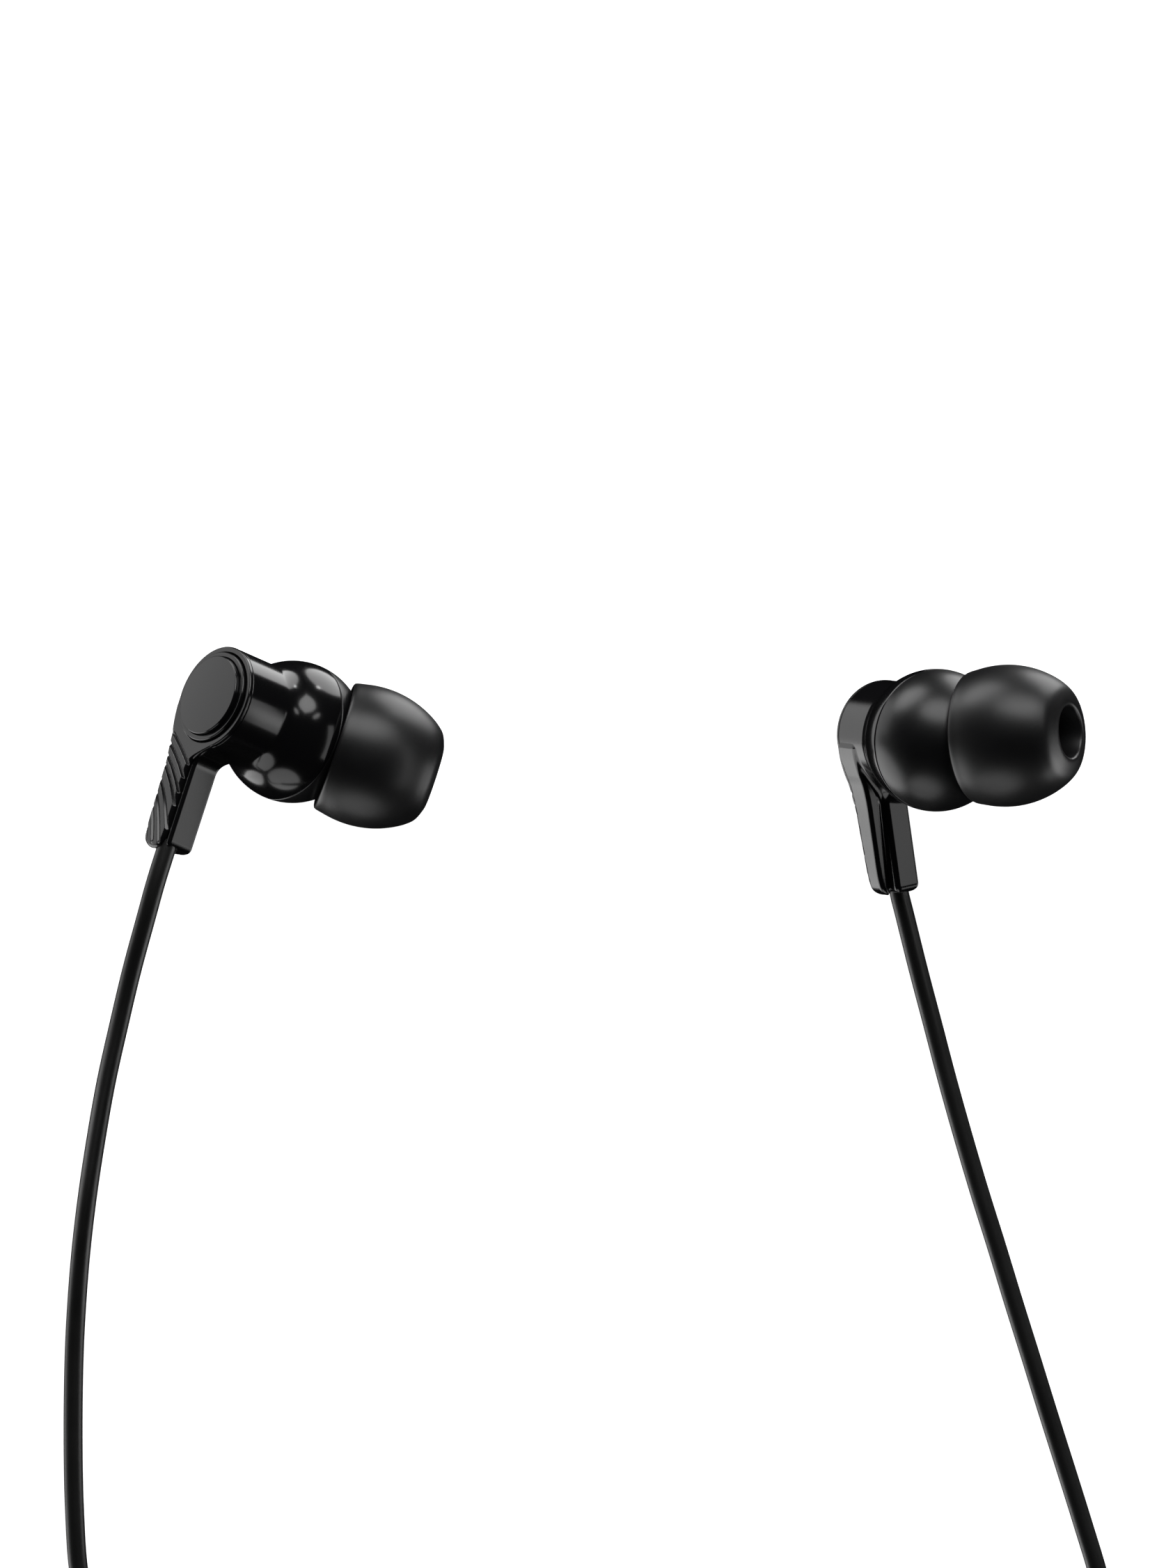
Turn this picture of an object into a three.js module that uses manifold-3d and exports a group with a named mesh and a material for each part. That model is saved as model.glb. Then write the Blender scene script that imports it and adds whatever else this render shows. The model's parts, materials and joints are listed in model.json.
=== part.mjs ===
// Wired in-ear earphones: two mirrored buds lying on a table, their branch cords,
// a Y-splitter, the main cord and a 3.5 mm stereo jack plug.
// Millimetres, +Z up. The table is the plane Z = 0, and the origin is the middle of
// the two buds on the table. +X runs from the right-ear bud to the left-ear bud, and
// the cords leave the buds towards -Y.

import * as THREE from 'three';
import { mergeVertices } from 'three/addons/utils/BufferGeometryUtils.js';
import Module from 'manifold-3d';

const wasm = await Module();
wasm.setup();

// ---------------------------------------------------------------- dimensions

const SHELL_SIDES = 26; // facets round the outside of a bud
const INNER_SIDES = 16; // facets round small and inner pieces

// Bud frame: +Z is the barrel's axis, inwards from the outer face at Z = 0. The stem
// runs down -Y, and the nozzle leans towards +X.
const CLEARANCE = 0.1; // between two still pieces of a bud
const BARREL_RADIUS = 4.7;
const BARREL_BORE = 3.7;
const MOUTH_RADIUS = 4.15; // counterbore that holds the trim ring
const MOUTH_DEPTH = 0.7;
const EDGE_ROUND = 0.12;
const DISC_RADIUS = 3.59;
const BULB_RADIUS = 6.27;
const BULB_WALL = 0.82;
const BULB_CENTRE = 9.5;
const SEAM = 9.6; // height of the joint between the bulb's two halves
const SEAM_GAP = 0.05;

const STEM_END = -14.1;
const PLATE_THICKNESS = 0.35;
const BLOCK = { left: -2.5, right: -0.28, end: -13.9, top: -4.0, bottom: 0.45, height: 3.14 };
const RAIL_RIGHT = -2.75; // the rail stands on the blade's outer edge, a slot away from the block
const RAIL_HEIGHT = 2.2;
const CORD_X = -1.2; // where the cord leaves the stem's end
const CORD_Z = 1.1;
const CORD_HOLE = 0.8;
const CAVITY = { low: [-2.0, -12.6, 0.45], high: [-0.7, -5.6, 2.6] }; // holds the cord's end
const LEAD_HOLE = 0.6;
const LEAD_Z = 1.9; // where the lead passes from the cavity into the barrel

const NOZZLE_TILT = THREE.MathUtils.degToRad(35);
const NOZZLE_RADIUS = 1.9;
const NOZZLE_BORE = 1.4;
const NOZZLE_END = 10.8; // distance from the bulb's centre
const BARB_RADIUS = 2.12;
const TIP_BORE = 2.28;
const TIP_RIM = 3.89;
const TIP_FRONT = 13.14;

// World places of the buds: the centre of the outer face, the barrel's axis inwards
// and the direction of the stem.
const BUDS = {
  right: { at: [-35.1, 6.5, 12.5], inward: [0.72, -0.319, -0.6163], down: [-0.3031, -0.9421, 0.1321] },
  left: { at: [23.66, 3.37, 2.4], inward: [0.4815, -0.0683, 0.8739], down: [0.1396, -0.9783, -0.1533] },
};

// Cords. A coil's inner and outer are the radii of the ring that its turns fill.
const BRANCH_DIAMETER = 1.7;
const MAIN_DIAMETER = 2.0;
const TUBE_STEP = 5; // length of one straight step of a cord's tube
const CORD_GAP = 0.3; // between a branch's tube and the end of its stem
const BRANCH_COIL = { centre: [9, -101.6], inner: 6.64, outer: 14.03, height: 3.4, tieAngle: 200 };
const MAIN_COIL = { centre: [-33, -96.4], inner: 4.5, outer: 18.5, height: 4.0, tieAngle: 60 };
const TIE_WIDTH = 3;
const TIE_BAND = 0.6;
const TIE_BOTTOM = 0.05;
const TIE_GAP = 0.15;
const TIE_INNER_GAP = 0.45; // the inside of a coil curves towards its tie

const SPLITTER = { start: -6, end: -21, y: -113.9, z: 1.8, halfWidth: 2.6, halfHeight: 1.75 };
const PLUG = { start: -35, y: -123.6, z: 3.15 };

// The uncoiled stretch of each branch, from the stem's end to the branch coil.
const RIGHT_ROUTE = [
  [-39.33, -7.03, 12.76], [-40.19, -9.81, 13.05], [-40.94, -12.53, 13.0], [-42.28, -17.41, 12.1],
  [-43.47, -22.3, 10.4], [-44.6, -27.19, 8.2], [-45.52, -32.08, 5.8], [-46.31, -36.97, 3.6],
  [-46.93, -41.85, 2.0], [-47.35, -46.74, 1.1], [-47.6, -51.63, 0.88], [-47.69, -58.96, 0.87],
  [-47.57, -65.0, 0.87], [-47.19, -70.5, 0.87], [-46.5, -73.5, 0.87], [-44.3, -75.7, 0.87],
  [-41.3, -76.5, 0.87], [-36.0, -76.6, 0.87], [-28.0, -76.6, 0.87], [-18.0, -76.6, 0.87],
  [-6.0, -76.6, 0.87], [6.4, -76.8, 0.87], [11.8, -77.9, 0.87], [16.3, -80.8, 0.87],
  [19.35, -85.2, 0.87], [20.2, -89.3, 0.87], [20.36, -91.6, 0.87],
];
const LEFT_ROUTE = [
  [25.12, -10.73, 1.72], [25.57, -12.53, 1.5], [26.79, -17.41, 1.05], [28.08, -22.3, 0.87],
  [29.36, -27.19, 0.87], [30.73, -32.08, 0.87], [32.17, -36.97, 0.87], [33.7, -41.85, 0.87],
  [35.19, -46.74, 0.87], [36.72, -51.63, 0.87], [38.26, -56.6, 0.87], [39.81, -61.5, 0.87],
  [41.31, -66.3, 0.87], [42.71, -71.0, 0.87], [43.9, -76.5, 0.87], [43.9, -81.5, 0.87],
  [41.0, -85.0, 0.87], [36.2, -86.0, 0.87], [31.0, -86.1, 0.87], [26.2, -87.6, 0.87],
  [23.2, -91.2, 0.87], [22.35, -94.0, 0.87],
];
// Short stretches between the coils, the splitter and the plug.
const RIGHT_TAIL = [[-1.2, -113.0, 2.4], [-5.7, -112.95, 1.85]];
const LEFT_TAIL = [[0.8, -114.78, 2.45], [-2.0, -114.85, 2.2], [-5.7, -114.9, 1.85]];
const MAIN_LEAD = [[-21.3, -113.9, 1.8], [-23.9, -113.9, 1.6]];
const MAIN_TAIL = [
  [-41.6, -114.8, 1.9], [-43.2, -116.5, 1.3], [-43.8, -118.8, 1.1], [-42.4, -122.2, 1.6],
  [-39.0, -123.55, 2.7], [-35.3, -123.6, 3.15],
];

// ------------------------------------------------------------------ finishes

const finish = (color, roughness, metalness = 0) =>
  new THREE.MeshStandardMaterial({ color, roughness, metalness });

const FINISHES = {
  gloss: finish(0x0b0b0c, 0.14),
  satin: finish(0x0d0d0e, 0.35),
  disc: finish(0x0d0d0e, 0.18),
  silicone: finish(0x101011, 0.42),
  jacket: finish(0x0e0e0f, 0.45),
  steel: finish(0xb4b6b8, 0.35, 1),
  magnet: finish(0x8d9094, 0.3, 1),
  copper: finish(0xb06a3a, 0.4, 1),
  film: finish(0xb9b09a, 0.35),
  felt: finish(0x2c2c2c, 0.95),
  board: finish(0x1f5b33, 0.5),
  wire: finish(0xa52a22, 0.5),
  nickel: finish(0xd2d0c8, 0.2, 1),
  plastic: finish(0x151515, 0.3),
};

// ------------------------------------------------------------------- solids

function toSolid(geometry) {
  const bare = geometry.clone();
  bare.deleteAttribute('normal');
  bare.deleteAttribute('uv');
  const merged = mergeVertices(bare, 1e-4);
  const corners = merged.index.array;
  const kept = [];
  for (let i = 0; i < corners.length; i += 3) {
    const [a, b, c] = [corners[i], corners[i + 1], corners[i + 2]];
    if (a !== b && b !== c && c !== a) kept.push(a, b, c);
  }
  return new wasm.Manifold(new wasm.Mesh({
    numProp: 3,
    vertProperties: new Float32Array(merged.attributes.position.array),
    triVerts: new Uint32Array(kept),
  }));
}

function toGeometry(solid) {
  const mesh = solid.getMesh();
  const geometry = new THREE.BufferGeometry();
  geometry.setAttribute('position', new THREE.BufferAttribute(mesh.vertProperties, 3));
  geometry.setIndex(new THREE.BufferAttribute(mesh.triVerts, 1));
  geometry.computeVertexNormals();
  return geometry;
}

// Turns a profile of [radius, height] points, outer side upwards, about +Z.
function revolve(profile, segments = INNER_SIDES) {
  const points = profile.map(([radius, height]) => new THREE.Vector2(radius, height));
  return new THREE.LatheGeometry(points, segments).rotateX(Math.PI / 2);
}

function ring(inner, outer, bottom, top, segments = INNER_SIDES) {
  const profile = [[inner, bottom], [outer, bottom], [outer, top], [inner, top], [inner, bottom]];
  return revolve(profile, segments);
}

function disc(radius, bottom, top, segments = INNER_SIDES) {
  return revolve([[0, bottom], [radius, bottom], [radius, top], [0, top]], segments);
}

// Points of a circle about (0, centre) from one height to another, as [radius, height].
function arc(radius, centre, from, to, steps) {
  const start = Math.asin((from - centre) / radius);
  const end = Math.asin((to - centre) / radius);
  const points = [];
  for (let i = 0; i <= steps; i += 1) {
    const angle = start + ((end - start) * i) / steps;
    const across = Math.abs(Math.cos(angle)) < 1e-9 ? 0 : Math.cos(angle);
    points.push([radius * across, centre + radius * Math.sin(angle)]);
  }
  return points;
}

function extrude(outline, bottom, top) {
  const shape = new THREE.Shape(outline.map(([x, y]) => new THREE.Vector2(x, y)));
  const depth = top - bottom;
  return new THREE.ExtrudeGeometry(shape, { depth, bevelEnabled: false }).translate(0, 0, bottom);
}

function box(low, high) {
  const size = high.map((value, axis) => value - low[axis]);
  const middle = high.map((value, axis) => (value + low[axis]) / 2);
  return new THREE.BoxGeometry(...size).translate(...middle);
}

// A cylinder along Y, for the cord's holes in a stem.
function holeAlongY(radius, x, z, from, to) {
  return disc(radius, from, to, 12).rotateX(-Math.PI / 2).translate(x, 0, z);
}

function roundedRectangle(left, bottom, right, top, radius) {
  const shape = new THREE.Shape();
  shape.moveTo(left + radius, bottom);
  shape.lineTo(right - radius, bottom);
  shape.absarc(right - radius, bottom + radius, radius, -Math.PI / 2, 0);
  shape.lineTo(right, top - radius);
  shape.absarc(right - radius, top - radius, radius, 0, Math.PI / 2);
  shape.lineTo(left + radius, top);
  shape.absarc(left + radius, top - radius, radius, Math.PI / 2, Math.PI);
  shape.lineTo(left, bottom + radius);
  shape.absarc(left + radius, bottom + radius, radius, Math.PI, Math.PI * 1.5);
  return shape.getPoints(3).map((point) => [point.x, point.y]);
}

// A round tube along a route.
function tube(route, radius, step = TUBE_STEP) {
  const points = route.map((point) => new THREE.Vector3(...point));
  const extrudePath = new THREE.CatmullRomCurve3(points, false, 'centripetal');
  const section = new THREE.Shape().absarc(0, 0, radius, 0, Math.PI * 2, false);
  const steps = Math.max(2, Math.round(extrudePath.getLength() / step));
  const options = { extrudePath, steps, curveSegments: 4, bevelEnabled: false };
  return new THREE.ExtrudeGeometry(section, options);
}

function piece(name, shape, material) {
  const geometry = shape.isBufferGeometry ? shape : toGeometry(shape);
  const mesh = new THREE.Mesh(geometry, material);
  mesh.name = name;
  return mesh;
}

// --------------------------------------------------------------------- buds

// The outline of the blade, closed by an arc inside the barrel's wall.
function bladeOutline() {
  const outline = [
    [-4.3, 0], [-4.69, -0.3], [-4.66, -1.5], [-4.46, -2.7], [-4.15, -3.9], [-3.95, -5.5],
    [-3.78, -9], [-3.55, -12.7], [-3.3, -13.5], [-2.6, -14.0], [-1.8, STEM_END], [-1.05, -13.85],
    [-0.72, -13.1], [-0.66, -11.5], [-0.65, -7.4], [-0.6, -6.4], [-0.4, -5.8], [0, -5.4], [0.6, -5.0],
    [1.7, -4.4],
  ];
  const insideWall = 4.3;
  for (let degrees = -65; degrees > -180; degrees -= 15) {
    const angle = THREE.MathUtils.degToRad(degrees);
    outline.push([insideWall * Math.cos(angle), insideWall * Math.sin(angle)]);
  }
  return outline;
}

// The stem's cavity and the hole that the cord leaves it by.
function cordRoom() {
  const cavity = toSolid(box(CAVITY.low, CAVITY.high));
  return cavity.add(toSolid(holeAlongY(CORD_HOLE, CORD_X, CORD_Z, STEM_END - 0.9, CAVITY.low[1] + 0.2)));
}

function rearShell() {
  const inner = BULB_RADIUS - BULB_WALL;
  const seam = SEAM - SEAM_GAP;
  const meetOutside = BULB_CENTRE - Math.sqrt(BULB_RADIUS ** 2 - BARREL_RADIUS ** 2);
  const meetInside = BULB_CENTRE - Math.sqrt(inner ** 2 - BARREL_BORE ** 2);
  const mouth = PLATE_THICKNESS + CLEARANCE;
  const profile = [
    [MOUTH_RADIUS, mouth], [BARREL_RADIUS, mouth],
    ...arc(BULB_RADIUS, BULB_CENTRE, meetOutside, seam, 5),
    ...arc(inner, BULB_CENTRE, seam, meetInside, 4),
    [BARREL_BORE, MOUTH_DEPTH], [MOUTH_RADIUS, MOUTH_DEPTH], [MOUTH_RADIUS, mouth],
  ];
  const body = toSolid(revolve(profile, SHELL_SIDES));
  const { left, right, end, top, bottom, height } = BLOCK;
  const block = toSolid(extrude(roundedRectangle(left, end, right, top, 0.3), bottom, height));
  const blade = toSolid(extrude(bladeOutline(), mouth, RAIL_HEIGHT));
  const rail = blade.subtract(toSolid(box([RAIL_RIGHT, STEM_END - 1, 0], [3, 0, RAIL_HEIGHT + 1])));
  const leadHole = toSolid(holeAlongY(LEAD_HOLE, CORD_X, LEAD_Z, -6, -3.2));
  return body.add(block).add(rail).subtract(cordRoom()).subtract(leadHole);
}

// The keyhole-shaped outer plate: a ring round the mouth that runs into the stem's blade.
function backPlate() {
  const rim = toSolid(revolve([
    [MOUTH_RADIUS, 0], [BARREL_RADIUS - EDGE_ROUND, 0], [BARREL_RADIUS, EDGE_ROUND],
    [BARREL_RADIUS, PLATE_THICKNESS], [MOUTH_RADIUS, PLATE_THICKNESS], [MOUTH_RADIUS, 0],
  ], SHELL_SIDES));
  const blade = toSolid(extrude(bladeOutline(), 0, PLATE_THICKNESS));
  return rim.add(blade).subtract(cordRoom());
}

// Moves a solid drawn along +Z from the bulb's centre onto the nozzle's axis.
function alongNozzle(geometry) {
  return geometry.rotateY(NOZZLE_TILT).translate(0, 0, BULB_CENTRE);
}

function frontShell() {
  const inner = BULB_RADIUS - BULB_WALL;
  const seam = SEAM + SEAM_GAP;
  const innerPole = BULB_CENTRE + inner;
  const outerPole = BULB_CENTRE + BULB_RADIUS;
  const dome = toSolid(revolve([
    ...arc(inner, BULB_CENTRE, innerPole, seam, 5),
    ...arc(BULB_RADIUS, BULB_CENTRE, seam, outerPole, 6),
  ], SHELL_SIDES));
  const nozzle = toSolid(alongNozzle(revolve([
    [0, 5.6], [NOZZLE_RADIUS, 5.6], [NOZZLE_RADIUS, 9.2], [BARB_RADIUS, 9.5], [BARB_RADIUS, 9.9],
    [NOZZLE_RADIUS, NOZZLE_END], [0, NOZZLE_END],
  ])));
  const bore = toSolid(alongNozzle(disc(NOZZLE_BORE, 4.5, NOZZLE_END + 0.5)));
  return dome.add(nozzle).subtract(bore);
}

function earTip() {
  const outside = [
    [5.74, TIP_RIM], [6.1, 5.3], [6.24, 6.9], [6.05, 8.6], [5.55, 10.3], [4.75, 11.8], [3.7, 12.8],
    [2.5, TIP_FRONT], [TIP_BORE, 13.05],
  ];
  const inside = [
    [TIP_BORE, 6.7], [3.0, 6.7], [3.0, 11.5], [4.3, 11.0], [5.2, 9.2], [5.62, 7.2], [5.25, TIP_RIM],
    [5.74, TIP_RIM],
  ];
  return alongNozzle(revolve([...outside, ...inside], SHELL_SIDES));
}

function faceCap() {
  return revolve([
    [0, -0.71], [DISC_RADIUS - 0.09, -0.71], [DISC_RADIUS, -0.62], [DISC_RADIUS, 0.9], [2.9, 0.9],
    [2.9, 0.2], [0, 0.2],
  ], SHELL_SIDES);
}

function trimRing() {
  const inner = DISC_RADIUS + CLEARANCE;
  const outer = MOUTH_RADIUS - CLEARANCE;
  return revolve([
    [inner, -0.3], [outer - 0.07, -0.3], [outer, -0.22], [outer, 0.6], [inner, 0.6], [inner, -0.3],
  ], SHELL_SIDES);
}

function driverFrame() {
  return revolve([
    [2.6, 7.2], [4.2, 7.2], [5.1, 8.75], [5.1, 9.2], [4.6, 9.2], [4.6, 8.95], [3.9, 7.6],
    [2.6, 7.6], [2.6, 7.2],
  ]);
}

function diaphragm() {
  return revolve([
    [0, 9.85], [1.0, 9.72], [1.9, 9.3], [2.3, 9.3], [3.6, 9.75], [4.9, 9.28], [5.1, 9.28], [5.1, 9.4],
    [4.95, 9.4], [3.6, 9.87], [2.3, 9.42], [1.95, 9.42], [1.0, 9.84], [0, 9.97],
  ]);
}

function driverYoke() {
  return revolve([[0, 6.6], [2.5, 6.6], [2.5, 8.4], [2.15, 8.4], [2.15, 7.0], [0, 7.0]]);
}

// The end of the cord's jacket, moulded into a collar that the stem's cavity holds.
function cordAnchor() {
  const collar = revolve([
    [0, 12.0], [0.42, 12.0], [0.6, 12.2], [0.6, 12.55], [0.7, 12.75], [0.7, 14.1], [0, 14.1],
  ], 12);
  return collar.rotateX(Math.PI / 2).translate(CORD_X, 0, CORD_Z);
}

function innerLead() {
  return tube([
    [CORD_X, -11.7, CORD_Z], [CORD_X, -10, 1.3], [CORD_X, -7.5, 1.85], [CORD_X, -5.3, LEAD_Z],
    [CORD_X, -3.6, 1.95],
    [-1.1, -2.4, 2.6], [-0.9, -1.6, 3.8], [-0.8, -1.4, 5.6],
  ], 0.35, 1.1);
}

function makeBud(side) {
  const bud = new THREE.Group();
  const add = (name, shape, material) => bud.add(piece(`${side}_${name}`, shape, material));
  add('rear_shell', rearShell(), FINISHES.gloss);
  add('back_plate', backPlate(), FINISHES.gloss);
  add('trim_ring', trimRing(), FINISHES.gloss);
  add('face_cap', faceCap(), FINISHES.disc);
  add('front_shell', frontShell(), FINISHES.satin);
  add('nozzle_mesh', alongNozzle(disc(NOZZLE_BORE - 0.06, 10.2, 10.4)), FINISHES.steel);
  add('ear_tip', earTip(), FINISHES.silicone);
  add('driver_frame', driverFrame(), FINISHES.plastic);
  add('driver_yoke', driverYoke(), FINISHES.steel);
  add('driver_magnet', disc(1.6, 7.08, 7.9), FINISHES.magnet);
  add('driver_top_plate', disc(1.68, 7.98, 8.4), FINISHES.steel);
  add('voice_coil', ring(1.82, 2.02, 7.75, 9.15), FINISHES.copper);
  add('diaphragm', diaphragm(), FINISHES.film);
  add('damping_pad', ring(2.7, 4.0, 6.85, 7.1), FINISHES.felt);
  add('terminal_board', disc(2.4, 6.0, 6.5), FINISHES.board);
  add('inner_lead', innerLead(), FINISHES.wire);
  add('cord_anchor', cordAnchor(), FINISHES.plastic);

  // The bud frame's axes in the world; the right-ear bud is the left-ear bud mirrored.
  const { at, inward, down } = BUDS[side];
  const zAxis = new THREE.Vector3(...inward).normalize();
  const yAxis = new THREE.Vector3(...down).negate().projectOnPlane(zAxis).normalize();
  const xAxis = new THREE.Vector3().crossVectors(yAxis, zAxis);
  bud.quaternion.setFromRotationMatrix(new THREE.Matrix4().makeBasis(xAxis, yAxis, zAxis));
  bud.position.set(...at);
  bud.scale.x = side === 'right' ? -1 : 1;
  return bud;
}

// -------------------------------------------------------------------- cords

// Starts a branch a gap away from the end of its stem.
function shorten(route) {
  const first = new THREE.Vector3(...route[0]);
  const second = new THREE.Vector3(...route[1]);
  const start = first.clone().lerp(second, CORD_GAP / first.distanceTo(second));
  return [start.toArray(), ...route.slice(1)];
}

// A flat frame of band about a coil's section, standing across the coil.
function tieSolid(coil) {
  const corners = (grow) => [
    [coil.inner - TIE_INNER_GAP - grow, TIE_BOTTOM + TIE_BAND - grow],
    [coil.outer + TIE_GAP + grow, TIE_BOTTOM + TIE_BAND - grow],
    [coil.outer + TIE_GAP + grow, coil.height + TIE_GAP + grow],
    [coil.inner - TIE_INNER_GAP - grow, coil.height + TIE_GAP + grow],
  ].map(([x, y]) => new THREE.Vector2(x, y));
  const shape = new THREE.Shape(corners(TIE_BAND));
  shape.holes.push(new THREE.Path(corners(0)));
  return new THREE.ExtrudeGeometry(shape, { depth: TIE_WIDTH, bevelEnabled: false })
    .rotateX(Math.PI / 2)
    .translate(0, TIE_WIDTH / 2, 0)
    .rotateZ(THREE.MathUtils.degToRad(coil.tieAngle))
    .translate(...coil.centre, 0);
}

// The outer shape of a coil, with a shallow notch underneath where its tie passes.
function coilSolid(coil) {
  const whole = toSolid(ring(coil.inner, coil.outer, 0, coil.height, 32));
  const halfWidth = TIE_WIDTH / 2 + TIE_GAP;
  const notch = box([0, -halfWidth, -1], [coil.outer + 1, halfWidth, TIE_BOTTOM + TIE_BAND + TIE_GAP])
    .rotateZ(THREE.MathUtils.degToRad(coil.tieAngle));
  return toGeometry(whole.subtract(toSolid(notch))).translate(coil.centre[0], coil.centre[1], 0);
}

function splitterHalf(bottom, top) {
  const { start, end, y, halfWidth } = SPLITTER;
  return extrude(roundedRectangle(end, y - halfWidth, start, y + halfWidth, 1.2), bottom, top);
}

// Turns a profile along the plug's axis, with the distance along it as the height.
function alongPlug(profile) {
  const { start, y, z } = PLUG;
  return revolve(profile).rotateY(Math.PI / 2).translate(start, y, z);
}

function makePlug() {
  const plug = new THREE.Group();
  const add = (name, profile, material) => plug.add(piece(name, alongPlug(profile), material));
  add('plug_relief', [[0, 0], [1.45, 0], [2.3, 8.9], [0, 8.9]], FINISHES.jacket);
  add('plug_body', [[0, 9], [2.9, 9], [3.1, 9.6], [3.1, 21.5], [2.8, 22.9], [0, 22.9]], FINISHES.satin);
  add('plug_collar', [[0, 23], [2.6, 23], [2.6, 24], [0, 24]], FINISHES.nickel);
  add('jack_sleeve', [[0, 24.05], [1.75, 24.05], [1.75, 32.6], [0, 32.6]], FINISHES.nickel);
  add('jack_insulator_rear', [[0, 32.65], [1.7, 32.65], [1.7, 33.25], [0, 33.25]], FINISHES.plastic);
  add('jack_ring', [[0, 33.3], [1.75, 33.3], [1.75, 34.8], [0, 34.8]], FINISHES.nickel);
  add('jack_insulator_front', [[0, 34.85], [1.7, 34.85], [1.7, 35.35], [0, 35.35]], FINISHES.plastic);
  add('jack_tip', [
    [0, 35.4], [1.7, 35.4], [1.2, 36.2], [1.7, 37.0], [1.5, 37.6], [0.4, 38], [0, 38],
  ], FINISHES.nickel);
  return plug;
}

function makeCords() {
  const cords = new THREE.Group();
  const add = (name, shape, material) => cords.add(piece(name, shape, material));
  const branch = BRANCH_DIAMETER / 2;
  const main = MAIN_DIAMETER / 2;
  add('right_cord', tube(shorten(RIGHT_ROUTE), branch), FINISHES.jacket);
  add('left_cord', tube(shorten(LEFT_ROUTE), branch), FINISHES.jacket);
  add('branch_coil', coilSolid(BRANCH_COIL), FINISHES.jacket);
  add('branch_tie', tieSolid(BRANCH_COIL), FINISHES.silicone);
  add('right_tail', tube(RIGHT_TAIL, branch), FINISHES.jacket);
  add('left_tail', tube(LEFT_TAIL, branch), FINISHES.jacket);
  add('splitter_base', splitterHalf(SPLITTER.z - SPLITTER.halfHeight, SPLITTER.z - 0.05), FINISHES.satin);
  add('splitter_top', splitterHalf(SPLITTER.z + 0.05, SPLITTER.z + SPLITTER.halfHeight), FINISHES.satin);
  add('main_lead', tube(MAIN_LEAD, main), FINISHES.jacket);
  add('main_coil', coilSolid(MAIN_COIL), FINISHES.jacket);
  add('main_tie', tieSolid(MAIN_COIL), FINISHES.silicone);
  add('main_tail', tube(MAIN_TAIL, main), FINISHES.jacket);
  return cords;
}

const earphones = new THREE.Group();
earphones.add(makeBud('right'), makeBud('left'), makeCords(), makePlug());
export default earphones;
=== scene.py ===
"""Wired in-ear earphones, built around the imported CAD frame.

Lengths in the tables and in the bud functions are millimetres. A bud is drawn in its own
frame: z runs inwards along the barrel from the outer face, the stem runs down -y, and the
nozzle leans towards +x. The right-ear bud is the left-ear bud mirrored in x.
"""
import json
import math

import bpy
import numpy as np
from mathutils import Matrix, Vector


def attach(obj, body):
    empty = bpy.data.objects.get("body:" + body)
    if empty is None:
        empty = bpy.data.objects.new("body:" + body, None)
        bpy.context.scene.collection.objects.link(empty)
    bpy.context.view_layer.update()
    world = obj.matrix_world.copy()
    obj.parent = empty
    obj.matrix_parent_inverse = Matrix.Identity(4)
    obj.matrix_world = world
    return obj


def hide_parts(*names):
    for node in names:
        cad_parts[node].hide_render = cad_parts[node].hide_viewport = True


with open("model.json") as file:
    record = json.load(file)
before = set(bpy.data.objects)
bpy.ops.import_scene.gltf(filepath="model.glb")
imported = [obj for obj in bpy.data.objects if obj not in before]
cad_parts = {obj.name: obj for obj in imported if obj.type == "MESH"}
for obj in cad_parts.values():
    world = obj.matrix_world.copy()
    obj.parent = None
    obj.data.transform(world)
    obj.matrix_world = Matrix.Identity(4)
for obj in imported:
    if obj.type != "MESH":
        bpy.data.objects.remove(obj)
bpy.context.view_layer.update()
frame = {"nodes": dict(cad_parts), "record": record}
MM = 0.001

# ------------------------------------------------ dimensions of a bud (bud frame)

BARREL_RADIUS = 4.7
BARREL_BORE = 3.7
MOUTH_RADIUS = 4.15
MOUTH_DEPTH = 0.7
RIM_EDGE = 0.08
PLATE_THICKNESS = 0.36
RING_EDGE, BLADE_EXTRA_EDGE = 0.13, 0.24  # rounding at the ring, and what the blade has more
EDGE_CHANGE = (4.6, 6.6)  # how far down the stem the rounding grows
RAIL_RIGHT = -2.64  # the rail stands on the blade's outer edge, behind the plate
RAIL_HEIGHT = 2.75
RAIL_HEIGHT_AT = -5
RAIL_SLOPE = 0.07
RAIL_FILLET = 0.45
RAIL_EDGE, RAIL_TOP_EDGE = 0.1, 0.4
SHELL_START = 0.39
BULB_RADIUS = 6.27
BULB_WALL = 0.82
BULB_CENTRE = 9.5
SEAM = 9.6
SEAM_GAP = 0.02
SEAM_EDGE = 0.12
BLOCK = {"left": -2.5, "right": -0.2, "end": -13.9, "height": 3.14}  # holds the cord, beside the rail
BLOCK_EDGES = {"left": 0.5, "top": 0.18, "end": 0.75, "bottom": 0.28}
CORD_X, CORD_Z = -1.2, 1.1
CORD_HOLE = 0.87
CORD_HOLE_END = -12.4
CAVITY = ((-2.0, -12.6, 0.45), (-0.7, -5.6, 2.6))
STEM_FILLET = 1.67  # between barrel and cord block
BULB_FILLET = 0.6
NOZZLE_TILT = math.radians(35)
NOZZLE_RADIUS = 1.9
NOZZLE_ROOT = 5.6  # along the nozzle, from the bulb's centre, as are the next places
NOZZLE_END = 10.8
NOZZLE_FILLET = 0.5
NOZZLE_BORE = 1.4
NOZZLE_BORE_START = 4.5
BARB_RADIUS = 2.12
BARB_START = 9.25
BARB_CONE_START = 9.9
BARB_SLOPE = 0.45
BARB_FILLET = 0.15
BARB_EDGE = 0.1
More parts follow.
